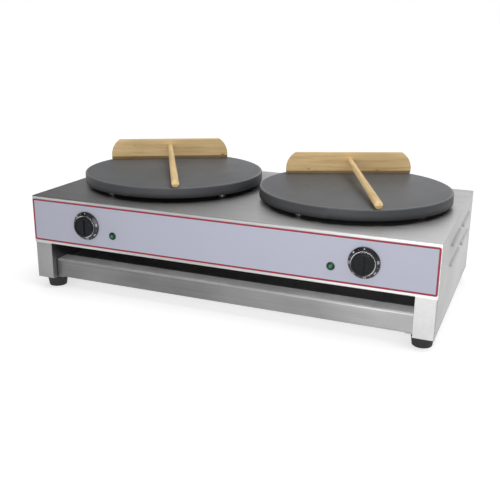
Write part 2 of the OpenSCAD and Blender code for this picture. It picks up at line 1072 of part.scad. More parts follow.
module right_knob_grip() {
  knob_grip(1);
}

// ---- Connections ----

// Lower front corner of the terminal block, which stands on the bay's ceiling
module at_block() {
  translate([gland_x - block_l / 2, rear_y - block_back, ceiling_z + sheet])
    children();
}

// Children at each pole of the terminal block, at its front face
module at_poles() {
  at_block()
    for (i = [0 : block_poles - 1])
      translate([block_l / 2 + (i - (block_poles - 1) / 2) * block_pitch, 0, 0])
        children();
}

module at_block_screws() {
  at_poles()
    for (y = [block_edge, block_w - block_edge])
      translate([0, y, 0])
        children();
}

// Ceramic block with a wire channel for each pole
module terminal_block() {
  color([0.90, 0.88, 0.82])
    difference() {
      at_block()
        cube([block_l, block_w, block_h]);
      at_block_screws()
        translate([0, 0, block_h / 2])
          cylinder(r = small_screw_r + fit, h = block_h);
      at_poles()
        translate([0, -1, block_h / 2])
          rotate([-90, 0, 0])
            cylinder(r = wire_r, h = block_w + 2);
    }
}

module terminal_screws() {
  color([0.80, 0.66, 0.36])
    at_block_screws()
      translate([0, 0, block_h / 2 + 1])
        cylinder(r = small_screw_r, h = block_h / 2 - 2);
}

// Cable gland: body, outer nut and the locknut inside
module gland_body() {
  color(black)
    at_gland()
      difference() {
        union() {
          translate([0, 0, -sheet - gland_in])
            cylinder(r = gland_thread_r, h = sheet + gland_in + eps);
          hex(gland_hex_r, gland_flange);
          translate([0, 0, gland_flange - eps])
            cylinder(r = gland_thread_r - 1, h = gland_neck - gland_flange);
        }
        translate([0, 0, -sheet - gland_in - 1])
          cylinder(r = gland_bore_r, h = sheet + gland_in + gland_out + 2);
      }
}

module gland_nut() {
  color(black)
    at_gland()
      difference() {
        union() {
          translate([0, 0, gland_flange])
            hex(gland_hex_r - 1, gland_neck - gland_flange - 1);
          translate([0, 0, gland_neck - 1 - eps])
            cylinder(r1 = gland_thread_r + 1, r2 = gland_bore_r + 1.5, h = gland_out - gland_neck + 1);
        }
        translate([0, 0, gland_flange - 1])
          cylinder(r = gland_thread_r - 1 + fit, h = gland_neck - gland_flange + 1);
        translate([0, 0, gland_flange - 1])
          cylinder(r = gland_bore_r, h = gland_out);
      }
}

module gland_locknut() {
  color(black)
    at_gland()
      translate([0, 0, -sheet - locknut_h])
        hex(gland_hex_r, locknut_h, gland_thread_r + fit);
}

// Bonding stud with its head inside, and two nuts outside
module bonding_stud() {
  color([0.80, 0.66, 0.36])
    at_bond() {
      translate([0, 0, -sheet - hex_head_h])
        hex(hex_head_r, hex_head_h);
      translate([0, 0, -sheet - eps])
        cylinder(r = bond_r, h = sheet + bond_out);
    }
}

module bonding_nuts() {
  color([0.80, 0.66, 0.36])
    at_bond()
      for (z = [0, nut_h + bond_gap])
        translate([0, 0, z])
          hex(hex_head_r, nut_h, bond_r + fit);
}

// Screws of the rear panel
module case_screws() {
  color(steel)
    for (s = [0, 1])
      mirror([s, 0, 0])
        at_case_screws() {
          cylinder(r = small_head_r, h = small_head_h);
          translate([0, 0, -case_thread])
            cylinder(r = small_screw_r, h = case_thread + eps);
        }
}

// ---- Feet ----

// Tapered rubber foot with a recess for its screw
module foot(x, y) {
  edge = 2;
  hole_r = foot_hole_r + 3 * fit;
  color(black)
    translate([x, y, 0])
      rotate_extrude() {
        polygon([
          [foot_recess_r, 0], [foot_base_d / 2 - edge, 0], [foot_base_d / 2 - edge, edge],
          [foot_base_d / 2, edge], [foot_top_d / 2, foot_h], [hole_r, foot_h],
          [hole_r, foot_recess_h], [foot_recess_r, foot_recess_h]
        ]);
        translate([foot_base_d / 2 - edge, edge])
          circle(edge);
      }
}

module front_left_foot() {
  foot(-foot_mid_x, front_y + foot_y);
}

module front_right_foot() {
  foot(foot_mid_x, front_y + foot_y);
}

module rear_left_foot() {
  foot(-foot_mid_x, rear_y - foot_y);
}

module rear_right_foot() {
  foot(foot_mid_x, rear_y - foot_y);
}

// Children at each of the four feet
module at_feet() {
  for (x = [-foot_mid_x, foot_mid_x], y = [front_y + foot_y, rear_y - foot_y])
    translate([x, y, 0])
      children();
}

module foot_screws() {
  color(steel)
    at_feet()
      translate([0, 0, foot_recess_h]) {
        translate([0, 0, -hex_head_h])
          cylinder(r = foot_recess_r - 2, h = hex_head_h);
        translate([0, 0, -eps])
          cylinder(r = foot_hole_r, h = base_z + sheet + foot_screw_up - foot_recess_h);
      }
}

module foot_nuts() {
  color(steel)
    at_feet()
      translate([0, 0, base_z + sheet])
        hex(hex_head_r, nut_h, foot_hole_r + fit);
}

// ---- Drawer ----

// Tray folded from thin sheet
module drawer_tray() {
  y0 = drawer_y + sheet;
  color(steel)
    difference() {
      box3([-drawer_half, y0, drawer_z], [drawer_half, tray_back, drawer_z + tray_h]);
      box3([-drawer_half + tray_t, y0 + tray_t, drawer_z + tray_t],
           [drawer_half - tray_t, tray_back - tray_t, drawer_z + tray_h + 1]);
    }
}

// Face of the drawer, with the pull ledge folded back along its top
module drawer_front() {
  color(steel)
    along_x(-drawer_half, 2 * drawer_half) {
      box2(drawer_y, drawer_z, drawer_y + sheet, drawer_top - lip_r);
      fold2(drawer_y + lip_r, drawer_top - lip_r, 1, lip_r);
      box2(drawer_y + lip_r, drawer_top - sheet, drawer_y + ledge_d - fold_r, drawer_top);
      fold2(drawer_y + ledge_d - fold_r, drawer_top - fold_r, 0);
      box2(drawer_y + ledge_d - sheet, drawer_top - hem, drawer_y + ledge_d, drawer_top - fold_r);
    }
}

// ---- Spreaders ----

// A spreader's place on its plate; its blade stands in the XZ plane and its handle runs along -Y
module at_spreader(s, turn, shift) {
  at_plate(s)
    rotate(turn)
      translate([shift, blade_back, spreader_z])
        rotate([spreader_tilt, 0, 0])
          children();
}

module spreader_blade() {
  end_x = blade_l / 2 - blade_end_r;
  color(wood)
    difference() {
      along_y(0, blade_t) {
        box2(-blade_l / 2, 0, blade_l / 2, blade_end_z);
        intersection() {
          box2(-blade_l / 2, 0, blade_l / 2, blade_h);
          union() {
            box2(-end_x, 0, end_x, blade_h);
            for (x = [-end_x, end_x])
              translate([x, blade_end_z])
                circle(blade_end_r, $fn = 128);
          }
        }
      }
      along_x(-blade_l, 2 * blade_l)
        polygon([[-1, bevel_h + bevel_h / bevel_d], [-1, -1], [bevel_d + bevel_d / bevel_h, -1]]);
      translate([0, -1, handle_z])
        rotate([-90, 0, 0])
          cylinder(r = handle_d / 2 - 0.5 + fit, h = blade_t + 2);
    }
}

module spreader_handle() {
  tenon_r = handle_d / 2 - 0.5;
  chamfer = 1.5;
  color(wood)
    translate([0, 0, handle_z])
      rotate([90, 0, 0])
        rotate_extrude()
          polygon([
            [0, -blade_t], [tenon_r, -blade_t], [tenon_r, 0], [handle_d / 2, 0],
            [handle_end_r, handle_l - chamfer], [handle_end_r - chamfer, handle_l], [0, handle_l]
          ]);
}

module left_spreader_blade() {
  at_spreader(-1, left_turn, left_shift)
    spreader_blade();
}

module left_spreader_handle() {
  at_spreader(-1, left_turn, left_shift)
    spreader_handle();
}

module right_spreader_blade() {
  at_spreader(1, right_turn, right_shift)
    spreader_blade();
}

module right_spreader_handle() {
  at_spreader(1, right_turn, right_shift)
    spreader_handle();
}

// ---- Assembly ----

top_shell();
left_side_panel();
right_side_panel();
rear_panel();
drawer_housing();
fascia_overlay();
left_plate();
right_plate();
left_plate_legs();
right_plate_legs();
plate_screws();
left_heating_element();
right_heating_element();
left_element_clamp();
right_element_clamp();
clamp_bolts();
left_thermostat();
right_thermostat();
left_capillary();
right_capillary();
thermostat_screws();
left_lamp_body();
right_lamp_body();
left_lamp_lens();
right_lamp_lens();
terminal_block();
terminal_screws();
gland_body();
gland_nut();
gland_locknut();
bonding_stud();
bonding_nuts();
case_screws();
front_left_foot();
front_right_foot();
rear_left_foot();
rear_right_foot();
foot_screws();
foot_nuts();
drawer_tray();
drawer_front();
left_shaft();
left_knob_skirt();
left_knob_ring();
left_knob_grip();
right_shaft();
right_knob_skirt();
right_knob_ring();
right_knob_grip();
left_spreader_blade();
left_spreader_handle();
right_spreader_blade();
right_spreader_handle();
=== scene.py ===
"""Electric crepe maker: finishes, printed marks, softened edges, lights and camera.

Lengths are in metres, in the same frame as the solids: X to the right, Y to the back, Z up.
"""
import json
import math

import bmesh
import bpy
import numpy as np
from mathutils import Matrix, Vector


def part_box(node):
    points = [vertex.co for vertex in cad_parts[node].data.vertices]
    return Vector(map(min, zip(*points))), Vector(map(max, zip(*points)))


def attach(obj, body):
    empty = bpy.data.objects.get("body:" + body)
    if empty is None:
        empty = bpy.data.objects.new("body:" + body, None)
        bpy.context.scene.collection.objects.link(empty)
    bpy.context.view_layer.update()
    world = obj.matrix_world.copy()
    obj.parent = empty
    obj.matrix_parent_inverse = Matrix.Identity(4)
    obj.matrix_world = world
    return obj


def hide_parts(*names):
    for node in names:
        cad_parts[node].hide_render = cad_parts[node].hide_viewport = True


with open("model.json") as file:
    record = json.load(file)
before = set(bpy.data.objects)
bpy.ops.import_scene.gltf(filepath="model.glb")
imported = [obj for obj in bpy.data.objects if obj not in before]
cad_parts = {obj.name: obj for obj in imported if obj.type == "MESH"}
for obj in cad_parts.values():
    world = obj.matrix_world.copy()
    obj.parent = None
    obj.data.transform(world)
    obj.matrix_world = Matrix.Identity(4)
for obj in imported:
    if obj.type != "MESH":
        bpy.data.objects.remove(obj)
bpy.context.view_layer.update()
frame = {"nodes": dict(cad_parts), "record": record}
NODES = frame["nodes"]
BODY_OF = {node: body for body, nodes in frame["record"]["behaviour"]["bodies"].items()
           for node in nodes}

# The fascia's face, the plates' top, and the centres of the right plate, knob and lamp, as in
# the solids. Those on the left stand as far from the middle.
FASCIA_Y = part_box("top_shell")[0].y
PLATE_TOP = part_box("left_plate")[1].z
PLATE_X, PLATE_Y = 0.212, FASCIA_Y + 0.236
KNOB_X, KNOB_Z = 0.295, 0.1555
LAMP_X, LAMP_Z = 0.233, 0.1405


# ---- Shader node helpers ----

# Most of a noise's values lie between these
NOISE_LOW, NOISE_HIGH = 0.3, 0.7


class Tree:
    """Adds nodes to a node tree and links or sets their inputs by name."""

    def __init__(self, tree):
        self.tree = tree

    def add(self, kind, inputs=None, **settings):
        node = self.tree.nodes.new("ShaderNode" + kind)
        for name, value in settings.items():
            setattr(node, name, value)
        for name, value in (inputs or {}).items():
            self.feed(node.inputs[name], value)
        return node

    def feed(self, socket, value):
        if isinstance(value, bpy.types.NodeSocket):
            self.tree.links.new(value, socket)
        else:
            socket.default_value = value

    def math(self, operation, a, b=0.0, clamp=False):
        return self.add("Math", {0: a, 1: b}, operation=operation, use_clamp=clamp).outputs[0]

    def plus(self, a, b):
        return self.math("ADD", a, b)

    def minus(self, a, b):
        return self.math("SUBTRACT", a, b)

    def times(self, a, b):
        return self.math("MULTIPLY", a, b)

    def off_middle(self, value, amount):
        """How far a value lies above one half, times an amount."""
        return self.times(self.minus(value, 0.5), amount)

    def hypotenuse(self, a, b):
        """The root of a squared plus b squared."""
        return self.math("SQRT", self.plus(self.math("POWER", a, 2.0),
                                           self.math("POWER", b, 2.0)))

    def vector(self, operation, a, b=None):
        node = self.add("VectorMath", {0: a}, operation=operation)
        if b is not None:
            self.feed(node.inputs[1], b)
        return node.outputs["Value" if operation == "DOT_PRODUCT" else "Vector"]

    def scaled(self, vector, factors):
        return self.vector("MULTIPLY", vector, factors)

    def parts(self, vector):
        return self.add("SeparateXYZ", {0: vector}).outputs

    def looks_up(self):
        """How far a face looks up: 1 on a top, 0 on a wall."""
        return self.parts(self.add("NewGeometry").outputs["Normal"])["Z"]

    def noise(self, vector, scale, detail=2.0, roughness=0.5):
        return self.add("TexNoise", {"Vector": vector, "Scale": scale, "Detail": detail,
                                     "Roughness": roughness}).outputs["Fac"]

    def streaks(self, vector, along, across, detail=2.0, roughness=0.5):
        """Noise drawn out in X: one scale along X, and one across it, in Y and Z."""
        return self.noise(self.scaled(vector, (along, across, across)), 1.0, detail, roughness)

    def remap(self, value, low, high, to_low=0.0, to_high=1.0, smooth=False):
        node = self.add("MapRange", {0: value, 1: low, 2: high, 3: to_low, 4: to_high})
        if smooth:
            node.interpolation_type = "SMOOTHSTEP"
        return node.outputs[0]

    def spanned(self, value, to_low, to_high):
        """A noise, with the span of most of its values set to another span."""
        return self.remap(value, NOISE_LOW, NOISE_HIGH, to_low, to_high)

    def mix(self, factor, a, b, blend="MIX"):
        node = self.add("Mix", data_type="RGBA", blend_type=blend)
        self.feed(node.inputs["Factor"], factor)
        self.feed(node.inputs[6], a)
        self.feed(node.inputs[7], b)
        return node.outputs[2]

    def grey(self, value):
        return self.add("CombineColor", {0: value, 1: value, 2: value}).outputs[0]

    def shaded(self, colour, shade):
        """A colour times a grey shade."""
        return self.mix(1.0, colour, self.grey(shade), "MULTIPLY")


def rgba(colour):
    return (colour[0], colour[1], colour[2], 1.0)


def new_group(name, inputs, outputs):
    """A shader node group with the named sockets; returns its tree, what it is given and what it
    puts out."""
    tree = bpy.data.node_groups.new(name, "ShaderNodeTree")
    for label, kind, default in inputs:
        socket = tree.interface.new_socket(label, in_out="INPUT", socket_type=kind)
        if default is not None:
            socket.default_value = default
    for label, kind in outputs:
        tree.interface.new_socket(label, in_out="OUTPUT", socket_type=kind)
    source = tree.nodes.new("NodeGroupInput")
    sink = tree.nodes.new("NodeGroupOutput")
    return Tree(tree), source.outputs, sink.inputs


FLOAT, VECTOR, COLOUR = "NodeSocketFloat", "NodeSocketVector", "NodeSocketColor"


def brushed_group():
    """Brushed sheet: fine lines along the vector's X, soft clouds, and a few long scratches."""
    fine_share, coarse_share, broad_share = 0.35, 0.35, 0.30
    scratch_from, scratch_full = 0.73, 0.79
    scratch_shine, scratch_rough, line_rough = 0.05, 0.08, 0.16
    t, given, out = new_group(
        "brushed_sheet",
        [("Vector", VECTOR, None), ("Colour", COLOUR, rgba((0.6, 0.6, 0.6))),
         ("Roughness", FLOAT, 0.3), ("Contrast", FLOAT, 0.12), ("Smudge", FLOAT, 0.10)],
        [("Colour", COLOUR), ("Roughness", FLOAT), ("Height", FLOAT)])
    place = given["Vector"]
    fine = t.streaks(place, along=9.0, across=1500.0, detail=3.0, roughness=0.7)
    coarse = t.streaks(place, along=4.0, across=420.0, roughness=0.6)
    broad = t.streaks(place, along=2.2, across=130.0, roughness=0.6)
    clouds = t.streaks(place, along=4.0, across=7.0, detail=4.0, roughness=0.55)
    scratch = t.remap(t.streaks(place, along=16.0, across=260.0, detail=1.0),
                      scratch_from, scratch_full)
    lines = t.plus(t.times(fine, fine_share), t.times(coarse, coarse_share))
    lines = t.plus(lines, t.times(broad, broad_share))
    dull = t.off_middle(clouds, given["Smudge"])
    shade = t.plus(t.plus(t.off_middle(lines, given["Contrast"]), 1.0), dull)
    shade = t.plus(shade, t.times(scratch, scratch_shine))
    rough = t.minus(t.plus(given["Roughness"], t.off_middle(lines, line_rough)), dull)
    rough = t.math("ADD", rough, t.times(scratch, scratch_rough), clamp=True)
    t.feed(out["Colour"], t.shaded(given["Colour"], shade))
    t.feed(out["Roughness"], rough)
    t.feed(out["Height"], lines)
    return t.tree


def grain_group():
    """Fine grain and broad patches for moulded, cast and coated surfaces."""
    patch_scale, grain_rough = 14.0, 0.1
    t, given, out = new_group(
        "surface_grain",
        [("Vector", VECTOR, None), ("Colour", COLOUR, rgba((0.5, 0.5, 0.5))),
         ("Roughness", FLOAT, 0.4), ("Grain Size", FLOAT, 0.0008), ("Contrast", FLOAT, 0.15),
         ("Patches", FLOAT, 0.10)],
        [("Colour", COLOUR), ("Roughness", FLOAT), ("Height", FLOAT)])
    place = given["Vector"]
    fine = t.noise(place, t.math("DIVIDE", 1.0, given["Grain Size"]), roughness=0.6)
    patch = t.off_middle(t.noise(place, patch_scale, detail=4.0, roughness=0.6),
                         given["Patches"])
    shade = t.plus(t.plus(1.0, t.off_middle(fine, given["Contrast"])), patch)
    rough = t.plus(given["Roughness"], t.off_middle(fine, grain_rough))
    t.feed(out["Colour"], t.shaded(given["Colour"], shade))
    t.feed(out["Roughness"], t.math("ADD", rough, patch, clamp=True))
    t.feed(out["Height"], fine)
    return t.tree


def wear_group():
    """Worn edges: where the rounded normal departs from the face's own normal, broken by noise.
    The wear starts and is full at two cosines of the angle between them."""
    cos_start, cos_full = 0.995, 0.86
    chip_scale, chip_from, chip_full = 160.0, 0.36, 0.66
    least, chipped = 0.3, 0.7
    t, given, out = new_group(
        "edge_wear", [("Vector", VECTOR, None), ("Rounded", VECTOR, None), ("Amount", FLOAT, 1.0)],
        [("Wear", FLOAT)])
    own = t.add("NewGeometry").outputs["Normal"]
    edge = t.remap(t.vector("DOT_PRODUCT", own, given["Rounded"]), cos_start, cos_full)
    chips = t.noise(given["Vector"], chip_scale, detail=3.0, roughness=0.6)
    broken = t.remap(chips, chip_from, chip_full)
    worn = t.times(edge, t.plus(t.times(broken, chipped), least))
    t.feed(out["Wear"], t.math("MULTIPLY", worn, given["Amount"], clamp=True))
    return t.tree


def border_group():
    """Rounded rectangle in X and Z: signed distance to its edge, negative inside."""
    t, given, out = new_group(
        "rounded_border",
        [("Vector", VECTOR, None), ("Centre", VECTOR, (0, 0, 0)), ("Half Size", VECTOR, (1, 1, 1)),
         ("Corner", FLOAT, 0.004)],
        [("Distance", FLOAT)])
    away = t.vector("ABSOLUTE", t.vector("SUBTRACT", given["Vector"], given["Centre"]))
    beyond = t.parts(t.vector("SUBTRACT", away, given["Half Size"]))
    x = t.plus(beyond["X"], given["Corner"])
    z = t.plus(beyond["Z"], given["Corner"])
    outside = t.hypotenuse(t.math("MAXIMUM", x, 0.0), t.math("MAXIMUM", z, 0.0))
    inside = t.math("MINIMUM", t.math("MAXIMUM", x, z), 0.0)
    t.feed(out["Distance"], t.minus(t.plus(outside, inside), given["Corner"]))
    return t.tree


def wood_group():
    """Planed pale wood: long growth lines along the vector's X, pores, and small knots."""
    dark_line, mid_line, pale_line = (0.72, 0.485, 0.215), (0.89, 0.635, 0.315), (0.98, 0.74, 0.40)
    pore_colour, knot_colour = (0.34, 0.20, 0.09), (0.23, 0.12, 0.05)
    line_bend, line_from, line_full, mid_place = 0.012, 0.28, 0.72, 0.45
    pore_from, pore_full, pore_share, pore_depth = 0.60, 0.75, 0.35, 0.5
    knot_scale, knot_core_r, knot_edge_r, knot_share = (16.0, 34.0, 34.0), 0.035, 0.10, 0.7
    t, given, out = new_group(
        "planed_wood", [("Vector", VECTOR, None)],
        [("Colour", COLOUR), ("Roughness", FLOAT), ("Height", FLOAT)])
    place = given["Vector"]
    drift = t.streaks(place, along=9.0, across=40.0)
    bend = t.scaled(t.add("CombineXYZ", {1: drift, 2: drift}).outputs[0],
                    (0.0, line_bend, line_bend))
    bands = t.streaks(t.vector("ADD", place, bend), along=5.0, across=150.0, detail=3.0,
                      roughness=0.6)
    pores = t.streaks(place, along=60.0, across=1500.0, roughness=0.6)
    tone = t.streaks(place, along=7.0, across=12.0)
    ramp = t.add("ValToRGB", {0: t.remap(bands, line_from, line_full)})
    ramp.color_ramp.elements[0].color = rgba(dark_line)
    ramp.color_ramp.elements[1].color = rgba(pale_line)
    ramp.color_ramp.elements.new(mid_place).color = rgba(mid_line)
    open_pores = t.remap(pores, pore_from, pore_full, 0.0, pore_share)
    colour = t.mix(open_pores, ramp.outputs[0], rgba(pore_colour))
    colour = t.shaded(colour, t.spanned(tone, 0.86, 1.10))
    cells = t.add("TexVoronoi", {"Vector": t.scaled(place, knot_scale), "Scale": 1.0})
    knot = t.remap(cells.outputs["Distance"], knot_core_r, knot_edge_r, 1.0, 0.0, smooth=True)
    t.feed(out["Colour"], t.mix(t.times(knot, knot_share), colour, rgba(knot_colour)))
    t.feed(out["Roughness"], t.spanned(bands, 0.62, 0.50))
    t.feed(out["Height"], t.minus(bands, t.times(pores, pore_depth)))
    return t.tree


BRUSHED, GRAIN, WEAR, BORDER, WOOD = (
    brushed_group(), grain_group(), wear_group(), border_group(), wood_group())


# ---- Materials ----

COAT_ROUGHNESS = 0.12
ROUNDING_SAMPLES = 4


def new_material(name, metallic=0.0, coat=0.0, specular=0.5):
    """A material with a Principled shader; returns it, its tree, the shader and the place."""
    made = bpy.data.materials.new(name)
    made.use_nodes = True
    made.node_tree.nodes.clear()
    t = Tree(made.node_tree)
    shader = t.add("BsdfPrincipled", {"Metallic": metallic, "Coat Weight": coat,
                                      "Coat Roughness": COAT_ROUGHNESS,
                                      "Specular IOR Level": specular})
    t.add("OutputMaterial", {0: shader.outputs[0]})
    return made, t, shader, t.add("TexCoord").outputs["Object"]


def use_group(t, group, inputs):
    node = t.add("Group")
    node.node_tree = group
    for name, value in inputs.items():
        t.feed(node.inputs[name], value)
    return node.outputs


def grain_skin(t, place, colour, roughness, size, contrast, patches):
    return use_group(t, GRAIN, {"Vector": place, "Colour": rgba(colour), "Roughness": roughness,
                                "Grain Size": size, "Contrast": contrast, "Patches": patches})


def worn_edges(t, place, rounded, amount):
    return use_group(t, WEAR, {"Vector": place, "Rounded": rounded, "Amount": amount})["Wear"]


def bumped(t, shader, height, strength, distance, edge_r=0.0006):
    """Feeds the normal: a bump over edges rounded by edge_r. Returns the rounded normal."""
    rounded = t.add("Bevel", {"Radius": edge_r}, samples=ROUNDING_SAMPLES).outputs[0]
    bump = t.add("Bump", {"Height": height, "Strength": strength, "Distance": distance,
                          "Normal": rounded})
    t.feed(shader.inputs["Normal"], bump.outputs[0])
    return rounded


def from_centre(t, place, centre_x, axis, centre):
    """Distance from the nearer of two centres, which stand at plus and minus centre_x and at
    centre on the other axis: from a plate's centre in X and Y, from a lamp's in X and Z."""
    side = t.parts(place)
    across = t.minus(t.math("ABSOLUTE", side["X"]), centre_x)
    return t.hypotenuse(across, t.minus(side[axis], centre))


def painted_light_top(t, place, tone, height, colour):
    """Faces that look up are painted paler in patches, a painted light, and the fold at their edge
    is painted grey, a painted highlight. Returns the tone and how far the painted light reaches."""
    light_from, light_full, least_light = 0.35, 0.9, 0.75
    fold_from, fold_full, fold_turns, fold_ends = 0.2, 0.5, 0.6, 0.9
    fold_highlight_colour = (0.58, 0.58, 0.58)
    up = t.looks_up()
    patches = t.noise(place, 30.0, detail=4.0, roughness=0.6)
    top_light = t.times(t.remap(up, light_from, light_full),
                     t.remap(patches, 0.25, 0.6, least_light, 1.0))
    top_light_tone = t.shaded(rgba(colour), t.spanned(height, 0.88, 1.08))
    tone = t.mix(top_light, tone, top_light_tone)
    # Painted highlight along the fold.
    fold = t.times(t.remap(up, fold_from, fold_full),
                   t.remap(up, fold_turns, fold_ends, 1.0, 0.0))
    return t.mix(fold, tone, rgba(fold_highlight_colour)), top_light


def painted_shadow_under_plates(t, place, tone):
    """Painted shadow under each plate: dark out to a ragged edge between two radii."""
    shadow_colour, shadow_share = (0.045, 0.040, 0.036), 0.93
    inner_r, outer_r, ragged = 0.186, 0.196, 0.003
    wander = t.spanned(t.noise(place, 40.0, detail=3.0, roughness=0.6), -ragged, ragged)
    reach = t.plus(from_centre(t, place, PLATE_X, "Y", PLATE_Y), wander)
    plate_shadow = t.remap(reach, inner_r, outer_r, 1.0, 0.0, smooth=True)
    return t.mix(t.times(plate_shadow, shadow_share), tone, rgba(shadow_colour))


def brushed_steel(name, colour, roughness, along="X", contrast=0.40, smudge=0.22, top_light_colour=None,
                  shade_under_plates=False):
    """Brushed stainless sheet with its lines along X or Y. Light spreads across the lines: in the
    direction of the face's normal crossed with one near X, or near Z on an upright side. Where a
    colour for the tops is given, faces that look up are painted paler, a painted light, and the
    fold at their edge gets a painted highlight. With shade under the plates, the sheet is painted
    dark under each plate, a painted shadow."""
    spread = 0.8
    near_x, near_z = (1.0, 0.02, 0.013), {"X": 0.03, "Y": 0.02, "Z": 1.0}
    line_bump, line_depth = 0.05, 0.0002
    worn_colour, worn_amount = (0.86, 0.86, 0.86), 0.3
    top_light_rough, top_light_metallic = 0.12, 0.45
    made, t, shader, place = new_material(name, metallic=1.0)
    shader.inputs["Anisotropic"].default_value = spread
    if along == "X":
        face = t.add("NewGeometry").outputs["True Normal"]
        across, turn = t.vector("CROSS_PRODUCT", face, near_x), 0.0
    else:
        across, turn = t.add("CombineXYZ", near_z).outputs[0], math.pi / 2
    t.feed(shader.inputs["Tangent"], across)
    lined = t.add("Mapping", {"Vector": place, "Rotation": (0, 0, turn)}, vector_type="TEXTURE")
    sheet = use_group(t, BRUSHED, {"Vector": lined.outputs[0], "Colour": rgba(colour),
                                   "Roughness": roughness, "Contrast": contrast,
                                   "Smudge": smudge})
    rounded = bumped(t, shader, sheet["Height"], line_bump, line_depth)
    worn = worn_edges(t, place, rounded, worn_amount)
    tone, rough = t.mix(worn, sheet["Colour"], rgba(worn_colour)), sheet["Roughness"]
    # Painted light on the faces that look up, which are also made rougher and less metallic, and a
    # painted highlight on the fold.
    if top_light_colour:
        tone, top_light = painted_light_top(t, place, tone, sheet["Height"], top_light_colour)
        rough = t.plus(rough, t.times(top_light, top_light_rough))
        t.feed(shader.inputs["Metallic"], t.remap(top_light, 0.0, 1.0, 1.0, top_light_metallic))
    # Painted shadow: the deck is painted dark under each plate.
    if shade_under_plates:
        tone = painted_shadow_under_plates(t, place, tone)
    t.feed(shader.inputs["Base Color"], tone)
    t.feed(shader.inputs["Roughness"], rough)
    return made


def grained(name, colour, roughness, metallic=0.0, size=0.0008, contrast=0.15, patches=0.1,
            bump=0.2, coat=0.0, specular=0.5, worn_colour=None):
    """Moulded, cast, plated or coated surface with fine grain and, if given, worn edges."""
    grain_depth, worn_amount = 0.0001, 0.6
    made, t, shader, place = new_material(name, metallic, coat, specular)
    skin = grain_skin(t, place, colour, roughness, size, contrast, patches)
    rounded = bumped(t, shader, skin["Height"], bump, grain_depth)
    tone = skin["Colour"]
    if worn_colour:
        tone = t.mix(worn_edges(t, place, rounded, worn_amount), tone, rgba(worn_colour))
    t.feed(shader.inputs["Base Color"], tone)
    t.feed(shader.inputs["Roughness"], skin["Roughness"])
    return made


def fascia_print():
    """Satin overlay, silver-lilac, with a red border line near its edge."""
    lilac, red = (0.472, 0.482, 0.58), (0.31, 0.020, 0.038)
    line_out, line_in, line_soft, corner_r = -0.0004, -0.0040, 0.0002, 0.004
    made, t, shader, place = new_material("fascia_print", specular=0.4)
    skin = grain_skin(t, place, lilac, roughness=0.42, size=0.0004, contrast=0.05,
                      patches=0.05)
    low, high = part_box("fascia_overlay")
    distance = use_group(t, BORDER, {"Vector": place, "Centre": (low + high) / 2,
                                     "Half Size": (high - low) / 2,
                                     "Corner": corner_r})["Distance"]
    line = t.times(t.remap(distance, line_in - line_soft, line_in + line_soft),
                   t.remap(distance, line_out - line_soft, line_out + line_soft, 1.0, 0.0))
    t.feed(shader.inputs["Base Color"], t.mix(line, skin["Colour"], rgba(red)))
    t.feed(shader.inputs["Roughness"], skin["Roughness"])
    bumped(t, shader, skin["Height"], strength=0.05, distance=0.0001, edge_r=0.0003)
    return made


def cooking_iron():
    """Dark seasoned cast iron: turned rings on the cooking face, its edge slightly polished, less
    rough and painted paler, a painted highlight, and sandy texture on the rim. The rim is painted
    darker than the top, a painted shade, and darker still towards its lower edge."""
    iron, seasoned_iron, wall_shade = (0.150, 0.154, 0.162), (0.080, 0.080, 0.081), (0.46, 0.46, 0.47)
    highlight_iron, worn_iron = (0.26, 0.26, 0.262), (0.32, 0.31, 0.30)
    ring_scale, ring_height, sand_height, ring_rough = 1100.0, 0.8, 0.6, 0.05
    dark_depth, fade_depth, lower_shade = 0.022, 0.011, 0.40
    polish_from_r, polish_full_r, highlight_share, polish_rough = 0.1940, 0.1965, 0.18, 0.2
    seasoned_from, seasoned_full, seasoned_share = 0.35, 0.7, 0.35
    flat_from, flat_full, shoulder_from, shoulder_full = 0.7, 0.95, 0.25, 0.6
    worn_amount = 0.35
    made, t, shader, place = new_material("cooking_iron", specular=0.2)
    radius = from_centre(t, place, PLATE_X, "Y", PLATE_Y)
    rings = t.noise(t.add("CombineXYZ", {0: radius}).outputs[0], ring_scale, roughness=0.6)
    skin = grain_skin(t, place, iron, roughness=0.50, size=0.0010, contrast=0.20, patches=0.22)
    seasoned = t.remap(t.noise(place, 9.0, detail=5.0, roughness=0.65),
                       seasoned_from, seasoned_full, 0.0, seasoned_share)
    tone = t.mix(seasoned, skin["Colour"], rgba(seasoned_iron))
    up = t.looks_up()
    flat = t.remap(up, flat_from, flat_full)
    # Painted shade: walls, which don't look up, are painted darker than the top.
    tone = t.mix(flat, t.mix(1.0, tone, rgba(wall_shade), "MULTIPLY"), tone)
    # Darker towards the rim's lower edge.
    lower_darkening = t.remap(t.parts(place)["Z"], PLATE_TOP - dark_depth, PLATE_TOP - fade_depth,
                     lower_shade, 1.0, smooth=True)
    tone = t.shaded(tone, lower_darkening)
    height = t.plus(t.times(skin["Height"], sand_height),
                    t.times(t.times(rings, flat), ring_height))
    rounded = bumped(t, shader, height, strength=0.25, distance=0.00015, edge_r=0.0012)
    # Round the top's edge: less rough, and painted paler, a painted highlight.
    polish_and_highlight = t.times(t.remap(radius, polish_from_r, polish_full_r),
                     t.remap(up, shoulder_from, shoulder_full))
    tone = t.mix(t.times(polish_and_highlight, highlight_share), tone, rgba(highlight_iron))
    worn = worn_edges(t, place, rounded, worn_amount)
    t.feed(shader.inputs["Base Color"], t.mix(worn, tone, rgba(worn_iron)))
    rough = t.plus(skin["Roughness"], t.spanned(rings, -ring_rough, ring_rough))
    t.feed(shader.inputs["Roughness"], t.minus(rough, t.times(polish_and_highlight, polish_rough)))
    return made


